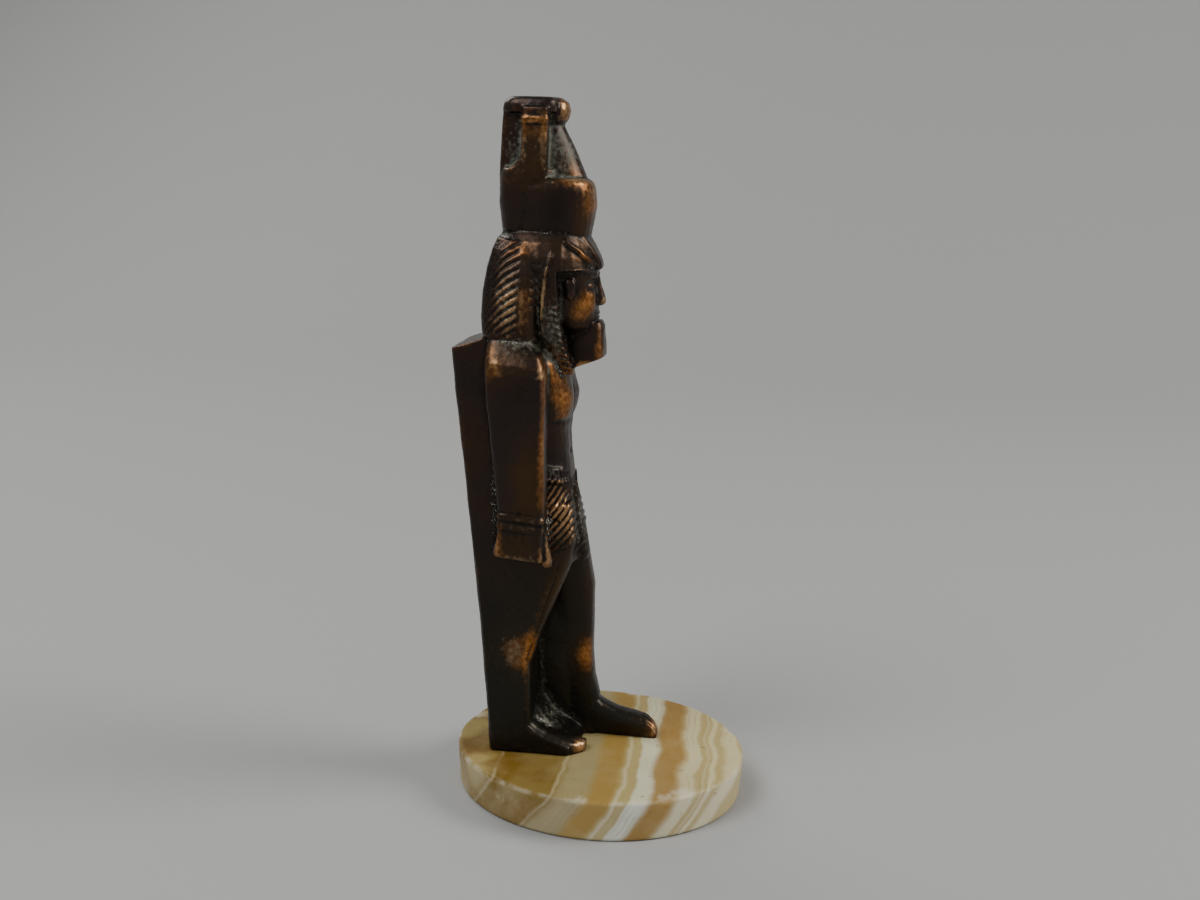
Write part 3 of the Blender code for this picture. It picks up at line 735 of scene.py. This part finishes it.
COPPER_PATCHES = (
    # the knob, the rim and ledge of the drum, and the near post
    ((0, 13.6, 168.5), (6, 4, 5), 0.8),
    ((-3, 6.2, 146), (9, 3, 7), 0.8),
    ((-7, 11, 151), (6, 5, 2), 0.8),
    ((-10, 20.6, 164), (3, 5, 5), 0.9),
    ((-5.5, 10.5, 154), (2.6, 2.6, 2.6), 0.8),
    # brow, cheeks and the beard's edges
    ((-9, 8, 132), (4, 4, 2.6), 0.7),
    ((-7, 7.4, 120.2), (5, 6, 5.4), 1.0),
    ((-5.2, 5.4, 103.8), (2.4, 6, 1.5), 0.9),
    ((-5, 3.2, 108.7), (1.6, 1.6, 5), 0.6),
    # the cloth's stripes and its side band
    ((-16, 25, 121), (4, 6, 9), 0.55),
    ((-14, 22, 134), (4, 5, 3.4), 0.45),
    # shoulders, breasts and the front edge of the arm
    ((-20, 27, 104), (4, 3, 2.4), 0.35),
    ((-14, 15, 102), (5, 4, 6.5), 1.3),
    ((-9, 12, 97), (5, 4, 8), 1.15),
    ((-19, 15.2, 86), (2.6, 1.5, 20), 0.7),
    # pleats, thumb and fist, thigh, shin and calf, toes
    ((-10.5, 13, 66), (4, 6, 9), 0.8),
    ((-17, 14, 56.5), (4, 3, 5), 0.7),
    ((-19, 25.8, 59), (3, 1.8, 5), 0.5),
    ((7.5, 4, 50), (5, 3, 6), 0.5),
    ((3.6, 5.2, 22.5), (5, 4, 6), 1.0),
    ((-12.8, 18, 29), (3, 3, 5), 1.1),
    ((-12.8, 21.4, 28.8), (3, 5.4, 4), 1.2),
    ((-12.8, 21.2, 25.4), (3, 3.2, 4), 0.9),
    ((-8.6, 4.8, 1.6), (4, 2, 2.4), 1.0),
    ((7, -13.8, 2.6), (4, 2, 3), 0.8),
)
# Where the patina is thin and the metal glows warm brown through it. One patch, on the front of the near leg,
# is painted light: it lightens a strip that lies in shade.
WARM_AND_LIT_PATCHES = (
    ((-3, 7, 142), (9, 5, 9), 0.9),
    ((-10, 21, 158), (4, 7, 12), 0.8),
    ((-8, 10, 132), (8, 8, 6), 0.9),
    ((-17, 24, 122), (5, 9, 12), 0.55),
    ((-8, 5, 118), (6, 8, 10), 0.6),
    ((-18, 26, 104), (6, 6, 6), 0.5),
    ((-12, 14, 99), (6, 6, 12), 0.8),
    ((-20, 19, 76), (4, 6, 17), 0.75),
    ((-20, 21, 58), (4, 8, 4), 0.6),
    ((-8, 10, 62), (8, 8, 12), 0.5),
    # painted light: lightens the shaded strip down the front of the near leg
    ((-8, 12, 46), (8, 4, 12), 0.9),
    ((6, 4, 46), (6, 4, 14), 0.6),
    ((4, 6, 22.5), (6, 6, 9), 0.7),
    ((-12.8, 20, 28), (4, 7, 8), 0.6),
    ((-9, 8, 3), (6, 8, 3), 0.3),
    ((6, -12, 3), (5, 6, 3), 0.6),
)
# Thin edges where the metal is rubbed through to a pale gold. The same pale gold is a painted highlight on
# raised edges and ridges.
GOLD_AND_HIGHLIGHT_PATCHES = (
    ((-10, 21, 159), (2, 4.6, 9), 0.45),
    ((-6, 10.6, 151.4), (6, 5, 1.6), 0.7),
    ((-3, 14.6, 168), (5, 3, 4), 0.4),
    ((-2, 6, 148), (9, 2.5, 3), 0.35),
    ((-13, 16.6, 122), (4, 1.8, 9), 0.8),
    ((-16.5, 25, 119), (3, 5, 9), 0.5),
    ((-13, 22, 135.5), (4, 5, 3), 0.3),
    ((-18, 16, 103.4), (4, 1.8, 2), 0.55),
    ((-20, 27.8, 106), (3, 2, 1.6), 0.35),
    ((-20, 15, 84), (2.4, 1.2, 19), 0.15),
    ((-18, 26.4, 58), (3, 1.4, 4), 0.5),
    ((-18.5, 20, 55.4), (4, 8, 2), 0.4),
    ((-17, 13.8, 58), (4, 2, 6), 0.55),
    ((-18.5, 20, 64.8), (3, 7, 2.4), 0.35),
    ((-10.8, 12, 66), (4, 6, 9), 0.6),
    ((-5.6, 5, 104), (2, 6, 1.6), 0.6),
    ((0, 3, 119.8), (3, 1.6, 2.4), 0.5),
    ((-8.5, 4.4, 1.8), (4, 2.4, 2.4), 0.7),
    ((7, -14.4, 2.2), (4, 1.8, 2.6), 0.7),
)
GREEN_PATCHES = (
    ((-5, 13, 158), (7, 8, 11), 1.3),
    ((-12, 15, 112), (5, 3.6, 12), 1.5),
    ((-10.5, 14.5, 77), (4, 5, 3), 0.7),
    ((0, 6.2, 64), (7, 4, 12), 1.0),
    ((-2, 13, 24), (5, 7, 18), 0.5),
    ((-12.8, 22.4, 28), (3, 4.4, 5), 1.3),
    ((-16, 25, 123), (6, 8, 13), 0.5),
    ((-6, 26, 158), (6, 5, 9), 0.7),
    ((-16, 22, 110), (6, 8, 2.6), 0.9),
    ((-4, 12, 8), (7, 7, 6), 0.8),
    ((-20, 27.4, 105.6), (3, 3, 3), 0.45),
    ((8, -6, 6.6), (4, 6, 2.4), 0.4),
)
# Smooth places that stay blackened.
DARK_PATCHES = (
    ((-16, 22, 109.5), (7, 8, 3.4), 0.7),
    ((-20, 22, 100), (3, 4, 7), 0.3),
    ((-10.5, 15, 144), (3, 4, 9), 0.5),
    ((-5, 10, 108), (4, 5, 5), 0.4),
    ((0, 24, 171), (10, 8, 3), 0.5),
)
DUST_PATCHES = (
    ((-13, 29, 68), (2.5, 1.4, 14), 0.75),
    ((-13, 14.5, 62), (3, 2, 12), 0.8),
    ((-14, 22, 52), (5, 6, 3), 0.6),
    ((-4, 12, 8.4), (6, 6, 6), 1.3),
    ((-2, 12, 22), (5, 5, 12), 0.5),
    ((-10, 12, 104), (4, 4, 8), 0.6),
    ((-6, 6, 128.8), (8, 6, 1.6), 0.5),
    ((0, 18, 137), (16, 16, 1.4), 0.7),
    ((-16, 25, 110.6), (6, 9, 1.4), 0.6),
)


# The side away from the camera has a fainter copy of the near side's wear, above the legs.
FAR_SIDE_STRENGTH = 0.85
FAR_SIDE_FLOOR = 52


def summed(points, patches):
    """The patches added up, with their mirrored copy on the far side."""

    def total(at):
        return sum(strength * patch(at, centre, reach) for centre, reach, strength in patches)

    far = (points[:, 0] > 1) & (points[:, 2] > FAR_SIDE_FLOOR)
    mirrored = FAR_SIDE_STRENGTH * total(points * (-1, 1, 1))
    return np.clip(np.where(far, np.maximum(total(points), mirrored), total(points)), 0, 1)


def mark(mesh, name, values):
    layer = mesh.attributes.new(name, "FLOAT", "POINT")
    layer.data.foreach_set("value", values.astype(np.float32))


def add_marks(mesh):
    points, facing = read(mesh, "co"), read(mesh, "normal")
    fine = ((points - spread(mesh, points, FINE_ROUNDS)) * facing).sum(axis=1)
    broad = ((points - spread(mesh, points, BROAD_ROUNDS)) * facing).sum(axis=1)
    proud = smooth_step(fine, 0.01, 0.10)
    edge = smooth_step(broad, 0.08, 0.45)
    hollow = smooth_step(-fine, 0.01, 0.08)
    deep = smooth_step(-broad, 0.05, 0.40)
    copper = summed(points, COPPER_PATCHES)
    rubbed = copper * (0.5 + 0.5 * np.maximum(proud, edge)) * (1 - 0.8 * hollow) + 0.16 * proud * edge
    # pale gold on raised edges: partly rubbed metal, partly painted highlight
    bright = summed(points, GOLD_AND_HIGHLIGHT_PATCHES) * np.maximum(proud, 0.6 * edge)
    green = summed(points, GREEN_PATCHES) * (0.55 + 0.45 * np.maximum(hollow, deep)) + 0.22 * hollow * deep
    dust = summed(points, DUST_PATCHES) * np.maximum(hollow, deep) + 0.05 * deep
    mark(mesh, "rubbed", np.clip(rubbed, 0, 1))
    mark(mesh, "warm", summed(points, WARM_AND_LIT_PATCHES) * (1 - 0.5 * hollow))
    mark(mesh, "bright", np.clip(bright, 0, 1))
    mark(mesh, "green", np.clip(green, 0, 1))
    mark(mesh, "dust", np.clip(dust, 0, 1))
    dark = np.maximum(hollow, deep) + summed(points, DARK_PATCHES)
    mark(mesh, "dark", np.clip(dark, 0, 1))


add_marks(figure.data)
points = read(figure.data, "co")
points[:, 2] *= MASTER_HEIGHT / points[:, 2].max()
points *= SCALE
points[:, 2] += figure_low.z
write(figure.data, np.clip(points, figure_low, figure_high))
figure.data.shade_smooth()


def nodes_of(tree):
    """Short ways to make a tree's nodes: any node, a remapped value, a mix of colours, and sums."""

    def add(kind, inputs=None, **settings):
        node = tree.nodes.new(kind)
        for key, value in settings.items():
            setattr(node, key, value)
        for socket, value in (inputs or {}).items():
            if isinstance(value, bpy.types.NodeSocket):
                tree.links.new(value, node.inputs[socket])
            else:
                node.inputs[socket].default_value = value
        return node

    def remap(value, low, high, to_low=0.0, to_high=1.0):
        inputs = {"Value": value, "From Min": low, "From Max": high, "To Min": to_low, "To Max": to_high}
        return add("ShaderNodeMapRange", inputs).outputs["Result"]

    def mix(factor, a, b):
        node = add("ShaderNodeMix", data_type="RGBA")
        for index, value in ((0, factor), (6, a), (7, b)):
            if isinstance(value, bpy.types.NodeSocket):
                tree.links.new(value, node.inputs[index])
            else:
                node.inputs[index].default_value = value
        return node.outputs[2]

    def maths(operation, a, b=0.5):
        return add("ShaderNodeMath", {0: a, 1: b}, operation=operation).outputs[0]

    def attribute(name):
        return add("ShaderNodeAttribute", attribute_name=name).outputs["Fac"]

    return add, remap, mix, maths, attribute


def bronze():
    made, tree, shader = principled("bronze", Metallic=0.75)
    add, remap, mix, maths, attribute = nodes_of(tree)
    place = add("ShaderNodeTexCoord").outputs["Object"]

    def speckle(scale, detail=4.0, roughness=0.55):
        inputs = {"Vector": place, "Scale": scale, "Detail": detail, "Roughness": roughness}
        return add("ShaderNodeTexNoise", inputs).outputs["Fac"]

    marks = ("rubbed", "warm", "bright", "green", "dust", "dark")
    rubbed, warm, bright, green, dust, dark = (attribute(name) for name in marks)
    cloud = speckle(70)
    fine = speckle(900, 3.0, 0.6)
    grit = speckle(2600, 2.0, 0.5)

    # The brown patina, cooler on the lower legs, warm where it is thin, lightened as painted light on the
    # front of the near leg, and black in the hollows.
    level = add("ShaderNodeSeparateXYZ", {0: place}).outputs["Z"]
    patina = mix(remap(cloud, 0.38, 0.62), (0.029, 0.0205, 0.018, 1), (0.040, 0.022, 0.014, 1))
    patina = mix(remap(level, 0.090, 0.040), patina, (0.022, 0.0195, 0.014, 1))
    thin_and_lit = maths("MULTIPLY", warm, remap(cloud, 0.3, 0.7, 0.5, 1.0))
    patina = mix(thin_and_lit, patina, (0.066, 0.034, 0.0115, 1))
    patina = mix(remap(fine, 0.60, 0.75, 0, 0.25), patina, (0.085, 0.048, 0.028, 1))
    patina = mix(maths("MULTIPLY", dark, 0.7), patina, (0.008, 0.0075, 0.006, 1))

    # Rubbed places show copper, and the thinnest edges a pale gold that is partly a painted highlight.
    copper = mix(remap(fine, 0.35, 0.65), (0.23, 0.080, 0.016, 1), (0.42, 0.185, 0.055, 1))
    ragged = maths("ADD", rubbed, remap(fine, 0.3, 0.7, -0.07, 0.07))
    ragged = maths("ADD", ragged, remap(cloud, 0.3, 0.7, -0.14, 0.14))
    worn = remap(ragged, 0.18, 1.0)
    colour = mix(worn, patina, copper)
    gilt_and_highlight = remap(maths("ADD", bright, remap(fine, 0.3, 0.7, -0.12, 0.12)), 0.12, 0.8)
    colour = mix(gilt_and_highlight, colour, (0.52, 0.33, 0.165, 1))
    worn = maths("MAXIMUM", worn, gilt_and_highlight)

    # Verdigris and pale dust lie in the folds, and both are dull.
    verdigris = mix(remap(fine, 0.35, 0.7), (0.045, 0.046, 0.031, 1), (0.14, 0.138, 0.095, 1))
    greened = remap(maths("ADD", green, remap(fine, 0.3, 0.7, -0.30, 0.30)), 0.30, 0.95, 0, 0.85)
    greened = maths("MULTIPLY", greened, maths("SUBTRACT", 1.0, maths("MULTIPLY", worn, 0.6)))
    colour = mix(greened, colour, verdigris)

    specks = remap(maths("ADD", dust, remap(grit, 0.35, 0.72, -0.9, 0.2)), 0.2, 0.60, 0, 0.8)
    colour = mix(specks, colour, (0.52, 0.51, 0.45, 1))
    dull = maths("MAXIMUM", greened, specks)
    metal = maths("MULTIPLY", maths("SUBTRACT", 1.0, dull), remap(worn, 0, 1, 0.85, 0.97))
    rough = maths("ADD", remap(worn, 0, 1, 0.34, 0.30), maths("MULTIPLY", dull, 0.35))
    rough = maths("ADD", rough, remap(fine, 0.3, 0.7, -0.05, 0.07))
    skin = maths("ADD", fine, maths("MULTIPLY", grit, 0.5))
    bump = add("ShaderNodeBump", {"Height": skin, "Strength": 0.12, "Distance": 0.0004})
    for socket, value in (("Base Color", colour), ("Metallic", metal), ("Roughness", rough)):
        tree.links.new(value, shader.inputs[socket])
    tree.links.new(bump.outputs["Normal"], shader.inputs["Normal"])
    return made


figure.data.materials.clear()
figure.data.materials.append(bronze())
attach(figure, "root")
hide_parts("bronze_king")


# Onyx disc
# A slightly oval disc with a sawn side, worn round edges and small chips
# along its upper rim. The bands of the stone cross it from side to side.
base_low, base_high = (Vector(corner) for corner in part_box("onyx_base"))
# Its two half widths, thickness, the rounding of its edges and how far its side draws in at the foot.
DISC_LONG, DISC_SHORT = 39.7, 38.0
DISC_THICK = (base_high.z - base_low.z) / MM
DISC_EDGE = 1.1
DISC_DRAW_IN = 0.6
DISC_TURN = math.radians(52)
DISC_SIDES = 360


def disc_profile():
    """Inset and height from the middle of the underside, out, up the side and back in over the top."""
    edge = DISC_EDGE
    quarter = [math.pi / 2 * i / 8 for i in range(9)]
    low = [(DISC_DRAW_IN + edge * (1 - math.sin(t)), edge * (1 - math.cos(t))) for t in quarter]
    side = [(DISC_DRAW_IN * (1 - i / 12), edge + (DISC_THICK - 2 * edge) * i / 12) for i in range(1, 12)]
    high = [(edge * (1 - math.cos(t)), DISC_THICK - edge * (1 - math.sin(t))) for t in quarter]
    top = [(inset, DISC_THICK) for inset in (1.4, 2.2, 3.2, 4.6, 7, 12, 20, 30, 37)]
    return low + side + high + top


# Each chip's direction in degrees, how far below the top it is, its reach around in degrees
# and up in millimetres, and how deep it goes.
CHIPS = (
    (169, 0.6, 5, 1.6, 1.0),
    (160, 0.4, 3, 1.0, 0.6),
    (128, 0.3, 3, 0.8, 0.5),
    (100, 3.8, 3, 1.2, 0.25),
    (92, 4.6, 5, 1.8, 0.3),
    (140, 5.4, 4, 1.2, 0.2),
    (20, 0.6, 4, 1.4, 0.8),
    (-60, 0.5, 3, 1.0, 0.6),
    (-118, 0.6, 4, 1.2, 0.7),
)


def chip(bm):
    """Presses the rim and side in at a few places, ragged, and says how deep each point went."""
    depths = []
    for vert in bm.verts:
        x, y, z = vert.co
        turn = math.degrees(math.atan2(y, x))
        outward = Vector((x, y, 0)).normalized()
        down = DISC_THICK - z
        near_rim = max(0.0, 1 - abs(math.hypot(x, y) - DISC_SHORT) / 3.5)
        uneven = 0.10 * max(0.0, 1 - down / 2.2) * near_rim * (0.5 + noise.noise(vert.co * 0.7))
        ragged = 0.7 + 0.6 * noise.noise(vert.co * 1.3)
        pressed = 0.0
        for centre, below, reach, tall, deep in CHIPS:
            away = (turn - centre + 180) % 360 - 180
            pressed += deep * math.exp(-((away / reach) ** 2) - ((down - below) / tall) ** 2)
        pressed *= max(0.0, ragged) * near_rim
        vert.co -= outward * (pressed + max(0.0, uneven)) * 0.7
        if down < 2:
            vert.co.z -= (pressed + max(0.0, uneven)) * 0.5
        depths.append(pressed)
    return np.array(depths)


bm = bmesh.new()
outline = [(DISC_LONG, 0)] + disc_profile() + [(DISC_LONG, DISC_THICK)]
corners = [bm.verts.new((DISC_LONG - inset, 0, height)) for inset, height in outline]
sides = [bm.edges.new(pair) for pair in zip(corners, corners[1:])]
full_turn = 2 * math.pi
bmesh.ops.spin(bm, geom=corners + sides, axis=(0, 0, 1), angle=full_turn, steps=DISC_SIDES, use_merge=True)
bmesh.ops.remove_doubles(bm, verts=bm.verts[:], dist=1e-4)
bmesh.ops.scale(bm, verts=bm.verts[:], vec=(1, DISC_SHORT / DISC_LONG, 1))
chip_depths = chip(bm)
bmesh.ops.rotate(bm, verts=bm.verts[:], cent=(0, 0, 0), matrix=Matrix.Rotation(DISC_TURN, 3, "Z"))
bmesh.ops.scale(bm, verts=bm.verts[:], vec=(MM, MM, MM))
bmesh.ops.recalc_face_normals(bm, faces=bm.faces[:])
disc_mesh = bpy.data.meshes.new("disc")
bm.to_mesh(disc_mesh)
bm.free()
disc = link("disc", disc_mesh)
disc_mesh.shade_smooth()
disc_mesh.set_sharp_from_angle(angle=math.radians(50))
mark(disc_mesh, "chipped", smooth_step(chip_depths, 0.06, 0.3))
write(disc_mesh, np.clip(read(disc_mesh, "co"), base_low, base_high))

# The stone's own tones, from deep honey to white.
DEEP_HONEY = (0.18, 0.11, 0.02)
HONEY = (0.23, 0.16, 0.05)
AMBER = (0.36, 0.22, 0.07)
GOLD = (0.38, 0.25, 0.08)
OLIVE = (0.36, 0.28, 0.12)
GREY_CREAM = (0.37, 0.31, 0.18)
SAND = (0.48, 0.39, 0.20)
CREAM = (0.66, 0.60, 0.42)
WHITE = (0.72, 0.72, 0.62)
# Where each band starts and ends ahead of the disc's middle, in millimetres. It blends into the next.
BANDS = (
    (-40, -29, OLIVE),
    (-23, -21, DEEP_HONEY),
    (-18, -9, HONEY),
    (-6, -1, GREY_CREAM),
    (2, 6, GOLD),
    (8, 11, SAND),
    (12, 15, WHITE),
    (17.5, 21.5, AMBER),
    (25, 27, CREAM),
    (28, 30, SAND),
    (31, 31.4, CREAM),
    (32.4, 32.8, SAND),
    (35, 37, CREAM),
    (39, 40, SAND),
)
# Half the width that the bands cross, and how far they lean back for each millimetre down.
BAND_REACH = 40
BAND_LEAN = 0.65
# Thin pale lines between the bands: place, half width and strength.
PALE_LINES = (
    (-24.5, 0.7, 0.35),
    (-8.2, 0.7, 0.45),
    (8.2, 0.9, 0.8),
    (24.6, 1.0, 0.8),
    (29.4, 0.7, 0.5),
)


def onyx():
    made, tree, shader = principled("onyx", Metallic=0.0, IOR=1.5, Specular_IOR_Level=0.1)
    add, remap, mix, maths, attribute = nodes_of(tree)
    place = add("ShaderNodeTexCoord").outputs["Object"]
    split = add("ShaderNodeSeparateXYZ", {0: place})

    def speckle(scale, detail=3.0, vector=place):
        inputs = {"Vector": vector, "Scale": scale, "Detail": detail, "Roughness": 0.5}
        return add("ShaderNodeTexNoise", inputs).outputs["Fac"]

    # Millimetres ahead of the middle, leaning back towards the foot of the disc, and wavy.
    height = maths("SUBTRACT", split.outputs["Z"], DISC_THICK * MM)
    forward = maths("MULTIPLY", split.outputs["Y"], -1)
    ahead = maths("SUBTRACT", forward, maths("MULTIPLY", height, BAND_LEAN))
    slow = remap(speckle(42, 1.0), 0.3, 0.7, -0.0016, 0.0016)
    quick = remap(speckle(240, 2.0), 0.3, 0.7, -0.00028, 0.00028)
    wavy = maths("ADD", maths("ADD", ahead, slow), quick)
    along = remap(wavy, -BAND_REACH * MM, BAND_REACH * MM)
    ramp = add("ShaderNodeValToRGB", {"Fac": along})
    ramp.color_ramp.interpolation = "EASE"
    stops = ramp.color_ramp.elements
    edges = [(at, tone) for start, end, tone in BANDS for at in (start, end)]
    stops[0].color, stops[1].color = (*edges[0][1], 1), (*edges[-1][1], 1)
    for at, tone in edges[1:-1]:
        stops.new((at + BAND_REACH) / (2 * BAND_REACH)).color = (*tone, 1)
    colour = ramp.outputs["Color"]

    # The pale lines, and finer grey-olive lines that run with the bands.
    def line(at, width):
        away = maths("ABSOLUTE", maths("SUBTRACT", wavy, at * MM))
        return remap(away, 0, width * MM, 1, 0)

    for at, width, strength in PALE_LINES:
        colour = mix(maths("MULTIPLY", line(at, width), strength), colour, (0.66, 0.61, 0.45, 1))
    rings = maths("SINE", maths("MULTIPLY", wavy, 4200))
    fine_lines = maths("MULTIPLY", remap(rings, 0.2, 1.0), remap(speckle(55), 0.50, 0.64, 0, 0.3))
    colour = mix(fine_lines, colour, (0.26, 0.20, 0.085, 1))

    # Deeper honey clouds at the back, partly the stone's own tone and partly painted shade under the figure's
    # back, a pale cloudiness and a few pits all over.
    honey_and_shade = maths("MULTIPLY", remap(speckle(60, 2.0), 0.47, 0.56, 0, 0.8), remap(ahead, -0.004, -0.012))
    colour = mix(honey_and_shade, colour, (0.17, 0.092, 0.014, 1))
    cloudy = remap(speckle(120, 5.0), 0.46, 0.72, 0, 0.25)
    colour = mix(cloudy, colour, (0.54, 0.46, 0.29, 1))
    pits = remap(speckle(420, 2.0), 0.70, 0.76, 0, 0.6)
    colour = mix(pits, colour, (0.20, 0.16, 0.10, 1))

    # The top is painted darker than the side. This is painted shade that tones down the stronger light
    # falling on it from above. The sawn side is dusty towards the back.
    top_shade_tint = {0: colour, 1: (0.76, 0.72, 0.56)}
    shaded_top = add("ShaderNodeVectorMath", top_shade_tint, operation="MULTIPLY").outputs[0]
    top = remap(height, -0.0010, -0.0002)
    dusty = maths("MULTIPLY", remap(ahead, -0.012, -0.022, 0, 0.45), remap(speckle(90), 0.40, 0.60))
    colour = mix(top, mix(dusty, colour, (0.44, 0.38, 0.25, 1)), shaded_top)

    # The rounded rim is painted paler, partly scuffs and partly a painted glint along the edge, and it is
    # glossier than the rest; its chips are pale.
    rim = maths("MULTIPLY", remap(height, -0.0013, -0.0007), remap(height, -0.00002, -0.0003))
    scuff_and_glint = maths("MULTIPLY", rim, remap(speckle(180), 0.46, 0.62, 0, 0.3))
    colour = mix(scuff_and_glint, colour, (0.70, 0.66, 0.54, 1))
    broken = maths("MULTIPLY", attribute("chipped"), remap(speckle(400), 0.35, 0.6, 0.15, 0.5))
    colour = mix(broken, colour, (0.56, 0.50, 0.35, 1))
    rough = maths("SUBTRACT", remap(speckle(700), 0.3, 0.7, 0.38, 0.52), maths("MULTIPLY", rim, 0.16))
    bump = add("ShaderNodeBump", {"Height": speckle(500), "Strength": 0.08, "Distance": 0.0005})
    tree.links.new(colour, shader.inputs["Base Color"])
    tree.links.new(rough, shader.inputs["Roughness"])
    tree.links.new(bump.outputs["Normal"], shader.inputs["Normal"])
    shader.inputs["Subsurface Weight"].default_value = 0.15
    shader.inputs["Subsurface Radius"].default_value = (1.0, 0.7, 0.4)
    shader.inputs["Subsurface Scale"].default_value = 0.004
    return made


disc_mesh.materials.append(onyx())
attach(disc, "root")
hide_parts("onyx_base")
